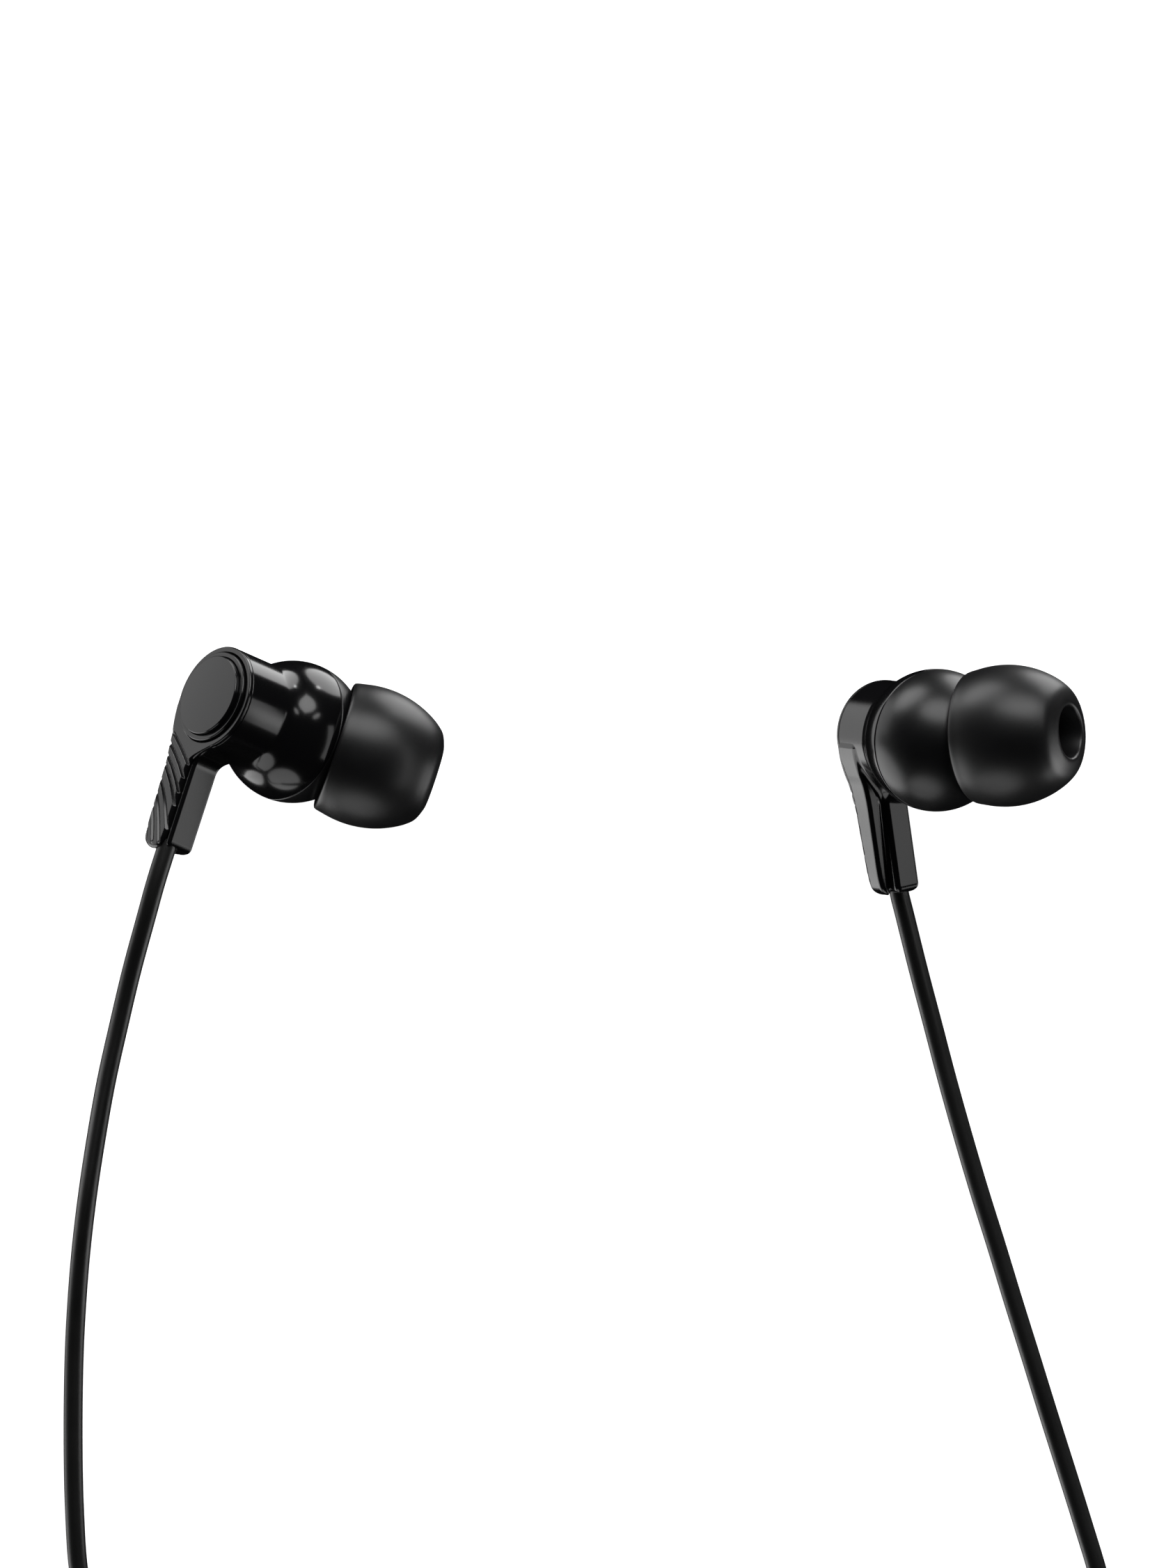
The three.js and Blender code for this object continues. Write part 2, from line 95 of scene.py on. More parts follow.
DISC_RADIUS = 3.59
DISC_RISE = 0.71
TIP_BORE = 2.28
GROOVE_STARTS = (3.8, 4.8, 5.8, 6.6, 7.9, 9.1, 10.2, 11.7)
GROOVE_LEFT = -3.75
GROOVE_HALF_WIDTH = 0.2
GROOVE_DEPTH = 0.25
GROOVE_SPREAD = 8  # from the first groove to where they would be steepest
GROOVE_FADE_IN, GROOVE_FADE_OUT = (3.2, 4.0), (13.2, 13.9)
STEM_ARC = 4.3  # radius of the arc that closes the blade's outline inside the ring
BLADE_OUTLINE = [
    (-4.3, 0), (-4.69, -0.3), (-4.66, -1.5), (-4.46, -2.7), (-4.15, -3.9), (-3.95, -5.5), (-3.78, -9),
    (-3.55, -12.7), (-3.3, -13.5), (-2.6, -14.0), (-1.8, -14.1), (-1.05, -13.85), (-0.72, -13.1),
    (-0.66, -11.5), (-0.65, -7.4), (-0.6, -6.4), (-0.4, -5.8), (0.0, -5.4), (0.6, -5.0), (1.7, -4.4),
]

BUDS = {
    "right": {
        "at": (-35.1, 6.5, 12.5), "inward": (0.72, -0.319, -0.6163), "down": (-0.3031, -0.9421, 0.1321),
    },
    "left": {
        "at": (23.66, 3.37, 2.4), "inward": (0.4815, -0.0683, 0.8739), "down": (0.1396, -0.9783, -0.1533),
    },
}

# ----------------------------- dimensions and routes of the cords (row frame, mm)

BRANCH_DIAMETER = 1.7
MAIN_DIAMETER = 2.0
BRANCH_GAP = 0.025  # from each branch to the middle between them
ANCHOR_DEPTH = 1.0  # how far a branch reaches into its stem
BRANCH_COIL = {  # start and tie are angles in degrees
    "centre": (9, -101.6), "radius": 12.3, "pitch": 3.5, "turns": 1.125, "start": 0,
    "tie": 200, "tie_span": (7.5, 12.75), "height": 3.42,
}
MAIN_COIL = {
    "centre": (-33, -96.4), "radius": 17.5, "pitch": 2.0, "turns": 6, "start": -90,
    "tie": 60, "tie_span": (5.1, 17.9), "height": 4.02,
}
COIL_CLEARANCE = 0.02  # from the table to the lower turns
CLIMB_RATE = 6  # the cord climbs to the upper turns within one part in this of a turn
TIE_LIFT = 0.4  # how far the cord rises over the tie's band
TIE_RAMP = 40  # degrees from the tie to where the cord lies down again
TIE_WIDTH = 3
TIE_CORNER = 0.8
TIE_CLEARANCE = 0.03
STRAP = 0.35  # thickness of a tie
SOFT_EDGE = 0.1  # rounding along the edges of ties and of the splitter's halves
SPLITTER = {
    "start": -6, "end": -21, "y": -113.9, "z": 1.8, "half_width": 2.6, "half_height": 1.75,
    "taper": 0.55, "end_edge": 1.3, "top_edge": 1.1, "seam": 0.02, "grip": 1, "play": 0.06,
    "branch_offset": 0.1,
}
PLUG = {"start": -35, "y": -123.6, "z": 3.15}
RELIEF = {
    "length": 8.9, "radius": 1.45, "flare": 0.85, "ribs": 7, "first": 0.9, "spacing": 1.1, "groove": 0.35,
}
GRIP = {"radius": 3.1, "groove_radius": 2.85, "grooves": 4, "first": 11.5, "spacing": 1.3}

RIGHT_ROUTE = [
    (-39.33, -7.03, 12.76), (-40.19, -9.81, 13.05), (-40.94, -12.53, 13.0), (-42.28, -17.41, 12.1),
    (-43.47, -22.3, 10.4), (-44.6, -27.19, 8.2), (-45.52, -32.08, 5.8), (-46.31, -36.97, 3.6),
    (-46.93, -41.85, 2.0), (-47.35, -46.74, 1.1), (-47.6, -51.63, 0.88), (-47.69, -58.96, 0.87),
    (-47.57, -65.0, 0.87), (-47.19, -70.5, 0.87), (-46.5, -73.5, 0.87), (-44.3, -75.7, 0.87),
    (-41.3, -76.5, 0.87), (-36.0, -76.6, 0.87), (-28.0, -76.6, 0.87), (-18.0, -76.6, 0.87),
    (-6.0, -76.6, 0.87), (6.4, -76.8, 0.87), (11.8, -77.9, 0.87), (16.3, -80.8, 0.87),
    (19.35, -85.2, 0.87), (20.2, -89.3, 0.87), (20.36, -91.6, 0.87),
]
LEFT_ROUTE = [
    (25.12, -10.73, 1.72), (25.57, -12.53, 1.5), (26.79, -17.41, 1.05), (28.08, -22.3, 0.87),
    (29.36, -27.19, 0.87), (30.73, -32.08, 0.87), (32.17, -36.97, 0.87), (33.7, -41.85, 0.87),
    (35.19, -46.74, 0.87), (36.72, -51.63, 0.87), (38.26, -56.6, 0.87), (39.81, -61.5, 0.87),
    (41.31, -66.3, 0.87), (42.71, -71.0, 0.87), (43.9, -76.5, 0.87), (43.9, -81.5, 0.87),
    (41.0, -85.0, 0.87), (36.2, -86.0, 0.87), (31.0, -86.1, 0.87), (26.2, -87.6, 0.87),
    (23.2, -91.2, 0.87), (22.35, -94.0, 0.87),
]
RIGHT_TAIL = [(-1.2, -113.0, 2.4), (-6.6, -112.95, 1.8)]
LEFT_TAIL = [(0.8, -114.78, 2.45), (-2.0, -114.85, 2.2), (-6.6, -114.9, 1.8)]
MAIN_LEAD = [(-20.4, -113.9, 1.8), (-23.9, -113.9, 1.6), (-28.5, -113.9, 1.1)]
MAIN_TAIL = [
    (-41.6, -114.8, 1.9), (-43.2, -116.5, 1.3), (-43.8, -118.8, 1.1), (-42.4, -122.2, 1.6),
    (-39.0, -123.55, 2.7), (-34.0, -123.6, 3.15),
]

# ---------------------------------------------------------------- camera (mm)

VIEW_CENTRE = (-3.45, -1.12)
VIEW_HEIGHT = 137.66  # length of table that the picture's long side spans
VIEW_PLANE = 9.0  # height at which that length holds
LENS, SENSOR = 500, 36
CLIP = (0.1, 10)  # metres


def add_camera():
    data = bpy.data.cameras.new("camera")
    data.lens, data.sensor_width = LENS, SENSOR
    data.clip_start, data.clip_end = CLIP
    camera = bpy.data.objects.new("camera", data)
    distance = VIEW_HEIGHT * LENS / SENSOR
    camera.location = Vector((*VIEW_CENTRE, VIEW_PLANE + distance)) * MM
    bpy.context.scene.collection.objects.link(camera)
    bpy.context.scene.camera = camera


# --------------------------------------------------------------------- cords

def smooth_line(points, step):
    """Even points, step apart, on a centripetal Catmull-Rom curve through the given points."""
    p = np.array(points, float)
    p = np.vstack([2 * p[0] - p[1], p, 2 * p[-1] - p[-2]])
    fine = []
    for a, b, c, d in zip(p, p[1:], p[2:], p[3:]):
        t0, t1 = 0.0, np.linalg.norm(b - a) ** 0.5
        t2 = t1 + np.linalg.norm(c - b) ** 0.5
        t3 = t2 + np.linalg.norm(d - c) ** 0.5
        t = np.linspace(t1, t2, 24, endpoint=False)[:, None]
        ab = a + (b - a) * (t - t0) / (t1 - t0)
        bc = b + (c - b) * (t - t1) / (t2 - t1)
        cd = c + (d - c) * (t - t2) / (t3 - t2)
        abc = ab + (bc - ab) * (t - t0) / (t2 - t0)
        bcd = bc + (cd - bc) * (t - t1) / (t3 - t1)
        fine.append(abc + (bcd - abc) * (t - t1) / (t2 - t1))
    fine = np.vstack([*fine, p[-2]])
    along = np.r_[0, np.cumsum(np.linalg.norm(np.diff(fine, axis=0), axis=1))]
    even = np.linspace(0, along[-1], max(2, round(along[-1] / step)) + 1)
    return np.stack([np.interp(even, along, fine[:, k]) for k in range(3)], 1)


def coil_points(coil, diameter, offset=0.0, per_turn=24):
    """Clockwise turns: inwards on the table, up one diameter, and outwards on top.

    offset is across the turns.
    """
    points = []
    count = round(2 * coil["turns"] * per_turn)
    for i in range(count + 1):
        turned = i / per_turn
        inwards = min(turned, 2 * coil["turns"] - turned)
        radius = coil["radius"] - coil["pitch"] * inwards + offset
        climb = min(1, max(0, (turned - coil["turns"]) * CLIMB_RATE + 0.5))
        angle = coil["start"] - 360 * turned
        from_tie = abs((angle - coil["tie"] + 180) % 360 - 180)
        over_tie = TIE_LIFT * (0.5 + 0.5 * math.cos(math.pi * min(1, from_tie / TIE_RAMP)))
        height = diameter / 2 + COIL_CLEARANCE + diameter * climb * climb * (3 - 2 * climb) + over_tie
        x, y = coil["centre"]
        a = math.radians(angle)
        points.append((x + radius * math.cos(a), y + radius * math.sin(a), height))
    return points


def cord_curve(name, points, diameter, step=0.5):
    """A round cord along a smooth line through the points."""
    line = smooth_line(points, step) * MM
    curve = bpy.data.curves.new(name, "CURVE")
    curve.dimensions = "3D"
    curve.bevel_depth = 1.0  # the points' radius sets the size, because it also counts in the box
    curve.bevel_resolution = 6
    curve.use_fill_caps = True
    spline = curve.splines.new("POLY")
    spline.points.add(len(line) - 1)
    spline.points.foreach_set("co", np.c_[line, np.ones(len(line))].ravel())
    spline.points.foreach_set("radius", np.full(len(line), diameter / 2 * MM))
    cord = bpy.data.objects.new(name, curve)
    bpy.context.scene.collection.objects.link(cord)
    return cord


def add_cords():
    """The two branches, side by side in one coil, and the main cord."""
    cords = {}
    for side, route, tail, offset in (
        ("right", RIGHT_ROUTE, RIGHT_TAIL, -BRANCH_DIAMETER / 2 - BRANCH_GAP),
        ("left", LEFT_ROUTE, LEFT_TAIL, BRANCH_DIAMETER / 2 + BRANCH_GAP),
    ):
        inside = np.array(route[0]) - ANCHOR_DEPTH * np.array(BUDS[side]["down"])
        turns = coil_points(BRANCH_COIL, BRANCH_DIAMETER, offset)
        cords[side] = cord_curve(f"{side}_branch_cord", [inside, *route, *turns, *tail], BRANCH_DIAMETER)
    turns = coil_points(MAIN_COIL, MAIN_DIAMETER)
    cords["main"] = cord_curve("main_cord", [*MAIN_LEAD, *turns, *MAIN_TAIL], MAIN_DIAMETER)
    return cords


# -------------------------------------------- distance functions (bud frame, mm)

def circular_join(a, b, radius):
    """Union of two distances with a round fillet of that radius."""
    u, v = np.maximum(radius - a, 0), np.maximum(radius - b, 0)
    return np.maximum(radius, np.minimum(a, b)) - np.hypot(u, v)


def rounded_cut(a, b, radius):
    """What two distances share, with an edge of that radius."""
    u, v = np.maximum(radius + a, 0), np.maximum(radius + b, 0)
    return np.minimum(-radius, np.maximum(a, b)) + np.hypot(u, v)


def smoothstep(low, high, value):
    t = np.clip((value - low) / (high - low), 0, 1)
    return t * t * (3 - 2 * t)


def outline_distance(x, y, outline):
    """Signed distance in the plane to a closed outline, negative inside."""
    x, y = np.broadcast_arrays(x, y)
    nearest = np.full(x.shape, np.inf)
    inside = np.zeros(x.shape, bool)
    for (ax, ay), (bx, by) in zip(outline, np.roll(outline, -1, axis=0)):
        ex, ey = bx - ax, by - ay
        t = np.clip(((x - ax) * ex + (y - ay) * ey) / (ex * ex + ey * ey), 0, 1)
        nearest = np.minimum(nearest, (x - ax - t * ex) ** 2 + (y - ay - t * ey) ** 2)
        if ay != by:
            inside ^= ((ay > y) != (by > y)) & (x < ex * (y - ay) / ey + ax)
    return np.where(inside, -1, 1) * np.sqrt(nearest)


def smooth_outline(points, step=0.2):
    return smooth_line([(x, y, 0) for x, y in points], step)[:, :2]


def groove_distance(x, y, start):
    """Distance in the plane from one curved groove of the blade."""
    share = (start - GROOVE_STARTS[0]) / GROOVE_SPREAD
    slope, bend = 0.68 + 1.8 * share ** 3, 0.03 + 0.25 * share
    along = x - GROOVE_LEFT
    off = -y - (start + slope * along + bend * along ** 2)
    return np.abs(off) / np.hypot(1, slope + 2 * bend * along)


def cord_channel(x, y, z):
    """The cord's exit hole and the cavity that holds its end."""
    hole = np.maximum(np.hypot(x - CORD_X, z - CORD_Z) - CORD_HOLE, y - CORD_HOLE_END)
    cavity = -np.inf
    for value, low, high in zip((x, y, z), *CAVITY):
        cavity = np.maximum(cavity, np.maximum(low - value, value - high))
    return np.minimum(hole, cavity)


def stem_outline():
    """The blade's outline, closed by an arc inside the ring."""
    arc = np.radians(np.arange(-65, -180, -12))
    hidden = STEM_ARC * np.stack([np.cos(arc), np.sin(arc)], 1)
    return np.vstack([smooth_outline(BLADE_OUTLINE[1:]), hidden])


STEM_OUTLINE = stem_outline()


def back_plate(x, y, z):
    """The keyhole-shaped outer plate: a ring round the mouth that runs into the grooved blade."""
    across = np.hypot(x, y)
    stem = outline_distance(x, y, STEM_OUTLINE)
    outline = np.maximum(np.minimum(across - BARREL_RADIUS, stem), MOUTH_RADIUS - across)
    edge = RING_EDGE + BLADE_EXTRA_EDGE * smoothstep(*EDGE_CHANGE, -y)
    plate = np.maximum(rounded_cut(outline, -z, edge), z - PLATE_THICKNESS)
    depth = GROOVE_DEPTH * (1 - smoothstep(*GROOVE_FADE_OUT, -y)) * smoothstep(*GROOVE_FADE_IN, -y)
    for start in GROOVE_STARTS:  # V-shaped grooves
        off = groove_distance(x, y, start)
        plate = np.maximum(plate, -(off - GROOVE_HALF_WIDTH * (1 - z / (depth + 0.02))) * 0.7)
    return np.maximum(plate, -cord_channel(x, y, z))


def rear_shell(x, y, z):
    """Barrel, cord block, rail and the rear half of the bulb, joined with fillets and hollow inside."""
    across = np.hypot(x, y)
    block = rounded_cut(x - BLOCK["right"], z - BLOCK["height"], BLOCK_EDGES["top"])
    block = rounded_cut(block, BLOCK["left"] - x, BLOCK_EDGES["left"])
    block = rounded_cut(block, SHELL_START - z, BLOCK_EDGES["bottom"])
    block = rounded_cut(block, BLOCK["end"] - y, BLOCK_EDGES["end"])
    barrel = rounded_cut(across - BARREL_RADIUS, SHELL_START - z, RIM_EDGE)
    rail = rounded_cut(outline_distance(x, y, STEM_OUTLINE), x - RAIL_RIGHT, RAIL_EDGE)
    rail = rounded_cut(rail, z - RAIL_HEIGHT - RAIL_SLOPE * (y - RAIL_HEIGHT_AT), RAIL_TOP_EDGE)
    stem = circular_join(barrel, np.maximum(block, y), STEM_FILLET)
    stem = circular_join(stem, np.maximum(rail, SHELL_START - z), RAIL_FILLET)
    stem = np.maximum(np.maximum(stem, z - BULB_CENTRE), SHELL_START - z)
    from_centre = np.sqrt(x * x + y * y + (z - BULB_CENTRE) ** 2)
    outside = circular_join(stem, from_centre - BULB_RADIUS, BULB_FILLET)
    outside = rounded_cut(outside, z - SEAM + SEAM_GAP, SEAM_EDGE)
    hollow = np.maximum(across - BARREL_BORE, z - BULB_CENTRE)
    hollow = np.minimum(hollow, from_centre - BULB_RADIUS + BULB_WALL)
    hollow = np.minimum(hollow, np.maximum(across - MOUTH_RADIUS, z - MOUTH_DEPTH))
    return np.maximum(outside, -np.minimum(hollow, cord_channel(x, y, z)))


def front_shell(x, y, z):
    """The front half of the bulb with its nozzle and barb."""
    above = z - BULB_CENTRE
    from_centre = np.sqrt(x * x + y * y + above ** 2)
    along = x * math.sin(NOZZLE_TILT) + above * math.cos(NOZZLE_TILT)
    beside = x * math.cos(NOZZLE_TILT) - above * math.sin(NOZZLE_TILT)
    across = np.sqrt(beside ** 2 + y * y)
    dome = rounded_cut(from_centre - BULB_RADIUS, SEAM + SEAM_GAP - z, SEAM_EDGE)
    dome = np.maximum(dome, BULB_RADIUS - BULB_WALL - from_centre)
    tube = np.maximum(across - NOZZLE_RADIUS, NOZZLE_ROOT - along)
    barb = rounded_cut(across - BARB_RADIUS, BARB_START - along, BARB_EDGE)
    cone = (across - BARB_RADIUS + (along - BARB_CONE_START) * BARB_SLOPE) * 0.91  # about a true distance
    barb = rounded_cut(barb, cone, BARB_EDGE)
    nozzle = rounded_cut(circular_join(tube, barb, BARB_FILLET), along - NOZZLE_END, SEAM_EDGE)
    bore = np.maximum(across - NOZZLE_BORE, NOZZLE_BORE_START - along)
    return np.maximum(circular_join(dome, nozzle, NOZZLE_FILLET), -bore)


# ------------------------------------------------------------------- meshing

def graded_axis(*stretches):
    """Grid places along an axis: stretches are (start, step), and the last one is (end, None)."""
    places = []
    for (start, step), (end, _) in zip(stretches, stretches[1:]):
        count = max(1, round((end - start) / step))
        places.extend(np.linspace(start, end, count, endpoint=False))
    return np.array([*places, stretches[-1][0]])


def gradient(distance, p, h=0.004):
    parts = []
    for k in range(3):
        step = np.zeros(3)
        step[k] = h
        a, b = p + step, p - step
        parts.append((distance(*a.T) - distance(*b.T)) / (2 * h))
    return np.stack(parts, 1)


def surface_net(distance, xs, ys, zs):
    """Closed quad mesh of a distance function's zero level, with its exact normals."""
    grid = distance(xs[:, None, None], ys[None, :, None], zs[None, None, :])
    inside = grid < 0
    axes = (xs, ys, zs)
    shape = np.array(grid.shape) - 1
    total = np.zeros((*shape, 3))
    count = np.zeros(shape)
    crossings = []
    for k in range(3):
        low = [slice(None)] * 3
        high = [slice(None)] * 3
        low[k], high[k] = slice(0, -1), slice(1, None)
        at = np.argwhere(inside[tuple(low)] != inside[tuple(high)])
        after = at.copy()
        after[:, k] += 1
        a, b = grid[tuple(at.T)], grid[tuple(after.T)]
        point = np.stack([axes[j][at[:, j]] for j in range(3)], 1)
        point[:, k] += a / (a - b) * (axes[k][after[:, k]] - axes[k][at[:, k]])
        u, v = (k + 1) % 3, (k + 2) % 3
        for du, dv in ((0, 0), (1, 0), (1, 1), (0, 1)):
            cell = at.copy()
            cell[:, u] -= du
            cell[:, v] -= dv
            np.add.at(total, tuple(cell.T), point)
            np.add.at(count, tuple(cell.T), 1)
        crossings.append((k, at, a < 0))
    number = np.full(shape, -1)
    cells = np.argwhere(count > 0)
    number[tuple(cells.T)] = np.arange(len(cells))
    points = total[tuple(cells.T)] / count[tuple(cells.T)][:, None]
    faces = []
    for k, at, outwards in crossings:
        u, v = (k + 1) % 3, (k + 2) % 3
        ring = []
        for du, dv in ((0, 0), (1, 0), (1, 1), (0, 1)):
            cell = at.copy()
            cell[:, u] -= du
            cell[:, v] -= dv
            ring.append(number[tuple(cell.T)])
        ring = np.stack(ring, 1)
        ring[~outwards] = ring[~outwards][:, ::-1]
        faces.append(ring)
    for _ in range(3):
        slope = gradient(distance, points)
        size = np.maximum((slope ** 2).sum(1), 0.25)
        move = -(distance(*points.T) / size)[:, None] * slope
        points += np.clip(move, -0.08, 0.08)
    slope = gradient(distance, points)
    return points, np.vstack(faces), slope / np.maximum(np.linalg.norm(slope, axis=1), 1e-9)[:, None]


# --------------------------------------------------------------- mesh pieces

def bud_matrix(side):
    """Bud frame in millimetres to the row frame in metres, mirrored for the right ear."""
    bud = BUDS[side]
    z = Vector(bud["inward"]).normalized()
    up = -Vector(bud["down"])
    y = (up - up.dot(z) * z).normalized()
    x = y.cross(z) * (-1 if side == "right" else 1)
    matrix = Matrix((x, y, z)).transposed().to_4x4()
    return Matrix.Translation(Vector(bud["at"]) * MM) @ matrix @ Matrix.Scale(MM, 4)


ALONG_NOZZLE = Matrix.Translation((0, 0, BULB_CENTRE)) @ Matrix.Rotation(NOZZLE_TILT, 4, "Y")
PLUG_MATRIX = (Matrix.Translation(Vector((PLUG["start"], PLUG["y"], PLUG["z"])) * MM)
               @ Matrix.Rotation(math.pi / 2, 4, "Y") @ Matrix.Scale(MM, 4))


def add_mesh(name, points, faces, matrix, normals=None):
    """One smooth-shaded piece. A mirroring matrix has its faces turned round."""
    m = np.array(matrix)
    points = points @ m[:3, :3].T + m[:3, 3]
    if np.linalg.det(m[:3, :3]) < 0:
        faces = [face[::-1] for face in faces]
    mesh = bpy.data.meshes.new(name)
    mesh.from_pydata(points.tolist(), [], [list(map(int, face)) for face in faces])
    mesh.shade_smooth()
    if normals is not None:
        turned = normals @ np.linalg.inv(m[:3, :3])
        turned /= np.linalg.norm(turned, axis=1)[:, None]
        mesh.normals_split_custom_set_from_vertices(turned.tolist())
    piece = bpy.data.objects.new(name, mesh)
    bpy.context.scene.collection.objects.link(piece)
    return piece


def round_corners(corners, steps=5):
    """A profile whose (radius, height, rounding) corners are turned into short arcs."""
    flat = [np.array(corner[:2], float) for corner in corners]
    points = []
    for i, corner in enumerate(corners):
        here, before, after = flat[i], flat[i - 1], flat[(i + 1) % len(corners)]
        rounding = corner[2] if len(corner) > 2 else 0
        if not rounding:
            points.append(here)
            continue
        u, v = before - here, after - here
        u, v = u / np.linalg.norm(u), v / np.linalg.norm(v)
        half = math.acos(np.clip(u @ v, -1, 1)) / 2
        centre = here + (u + v) / np.linalg.norm(u + v) * rounding / math.sin(half)
        start, end = here + u * rounding / math.tan(half), here + v * rounding / math.tan(half)
        for t in np.linspace(0, 1, steps + 1):
            ray = (start - centre) * (1 - t) + (end - centre) * t
            points.append(centre + ray / np.linalg.norm(ray) * rounding)
    return np.array(points)


def lathe(profile, segments=128):
    """Points and faces of a closed (radius, height) profile turned about z."""
    profile = np.array(profile, float)
    if signed_area(profile) < 0:
        profile = profile[::-1]
    turn = np.linspace(0, 2 * math.pi, segments, endpoint=False)
    points, rings = [], []
    for radius, height in profile:
        first = len(points)
        if radius < 1e-6:
            points.append((0, 0, height))
            rings.append([first] * segments)
        else:
            points.extend((radius * math.cos(a), radius * math.sin(a), height) for a in turn)
            rings.append(list(range(first, first + segments)))
    faces = []
    for low, high in zip(rings, rings[1:] + rings[:1]):
        if low[0] == low[1] and high[0] == high[1]:
            continue
        for i in range(segments):
            j = (i + 1) % segments
            corners = [low[i], low[j], high[j], high[i]]
            faces.append([c for k, c in enumerate(corners) if c != corners[k - 1]])
    return np.array(points), faces


def signed_area(profile):
    x, y = profile.T
    return 0.5 * np.sum(x * np.roll(y, -1) - y * np.roll(x, -1))


def face_disc_profile():
    return round_corners([
        (0, -DISC_RISE), (DISC_RADIUS, -DISC_RISE, 0.1), (DISC_RADIUS, 0.9, 0.05),
        (2.9, 0.9), (2.9, 0.2), (0, 0.2),
    ])


def trim_ring_profile():
    inner, outer = DISC_RADIUS + 0.06, MOUTH_RADIUS - 0.06
    return round_corners([
        (inner, -0.3, 0.05), (outer, -0.3, 0.1), (outer, 0.6), (inner, 0.6),
    ])


def ear_tip_profile():
    outside = smooth_outline([
        (5.62, 3.83), (5.76, 3.9), (5.98, 4.73), (6.16, 5.74), (6.23, 6.76), (6.18, 7.82), (5.98, 8.96),
        (5.62, 10.1), (5.1, 11.2), (4.58, 12.0), (4.0, 12.6), (3.1, 13.0), (2.6, 13.12), (2.38, 13.08),
        (TIP_BORE, 12.9),
    ], 0.15)
    core = round_corners([(TIP_BORE, 12.8), (TIP_BORE, 6.7, 0.1), (3.0, 6.7, 0.1), (3.0, 11.3, 0.5)])[1:]
    inside = smooth_outline([
        (3.4, 11.75), (4.2, 11.15), (5.0, 9.7), (5.45, 8.2), (5.6, 6.9), (5.5, 5.5), (5.3, 4.2),
        (5.33, 3.92), (5.45, 3.83),
    ], 0.3)
    return np.vstack([outside, core, inside])


SHELLS = (  # node, distance function, slot, and the grid's stretches along x, y and z
    ("back_plate", back_plate, "gloss_shell",
     ((-5.0, 0.07), (5.0, None)), ((-14.4, 0.07), (5.0, None)), ((-0.15, 0.05), (1.1, None))),
    ("rear_shell", rear_shell, "gloss_shell",
     ((-6.6, 0.16), (-4.0, 0.08), (0.1, 0.16), (6.6, None)), ((-14.3, 0.13), (6.6, None)),
     ((0.2, 0.06), (3.5, 0.14), (9.3, 0.03), (9.7, None))),
    ("front_shell", front_shell, "satin_shell",
     ((-6.6, 0.15), (9.0, None)), ((-6.6, 0.15), (6.6, None)), ((9.5, 0.03), (9.9, 0.15), (19.5, None))),
)
TURNED = (  # node, profile, slot and place in the bud
    ("face_cap", face_disc_profile, "face_disc", Matrix()),
    ("trim_ring", trim_ring_profile, "gloss_shell", Matrix()),
    ("ear_tip", ear_tip_profile, "silicone", ALONG_NOZZLE),
)


def finish_piece(piece, body, slot, *nodes):
    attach(piece, body)
    if nodes:
        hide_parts(*nodes)
    piece.data.materials.clear()
    piece.data.materials.append(materials[slot])


def add_buds():
    for name, distance, slot, xs, ys, zs in SHELLS:
        points, faces, normals = surface_net(distance, graded_axis(*xs), graded_axis(*ys), graded_axis(*zs))
        for side in BUDS:
            piece = add_mesh(f"{side}_{name}_shape", points, faces, bud_matrix(side), normals)
            finish_piece(piece, "root", slot, f"{side}_{name}")
    for name, profile, slot, local in TURNED:
        points, faces = lathe(profile())
        for side in BUDS:
            piece = add_mesh(f"{side}_{name}_shape", points, faces, bud_matrix(side) @ local)
            body = f"{side}_tip" if name == "ear_tip" else "root"
            finish_piece(piece, body, slot, f"{side}_{name}")


def splitter_half(top):
    """Distance to one half of the Y-splitter's body, which narrows towards the main cord."""
    middle = (SPLITTER["start"] + SPLITTER["end"]) / 2
    half_length = (SPLITTER["start"] - SPLITTER["end"]) / 2
    sign = 1 if top else -1

    def distance(x, y, z):
        along, across, above = x - middle, np.abs(y - SPLITTER["y"]), (z - SPLITTER["z"]) * sign
        taper = SPLITTER["taper"] * smoothstep(half_length, -half_length, along)
        side = across - SPLITTER["half_width"] + taper
        body = rounded_cut(np.abs(along) - half_length, side, SPLITTER["end_edge"])
        body = rounded_cut(body, above - SPLITTER["half_height"], SPLITTER["top_edge"])
        body = rounded_cut(body, SPLITTER["seam"] - above, SOFT_EDGE)
        aside = across - BRANCH_DIAMETER / 2 - SPLITTER["branch_offset"]
        branch = np.hypot(aside, z - SPLITTER["z"]) - BRANCH_DIAMETER / 2 - SPLITTER["play"]
        main = np.hypot(across, z - SPLITTER["z"]) - MAIN_DIAMETER / 2 - SPLITTER["play"]
        branch = np.maximum(branch, half_length - SPLITTER["grip"] - along)
        main = np.maximum(main, along + half_length - SPLITTER["grip"])
        return np.maximum(body, -np.minimum(branch, main))

    return distance


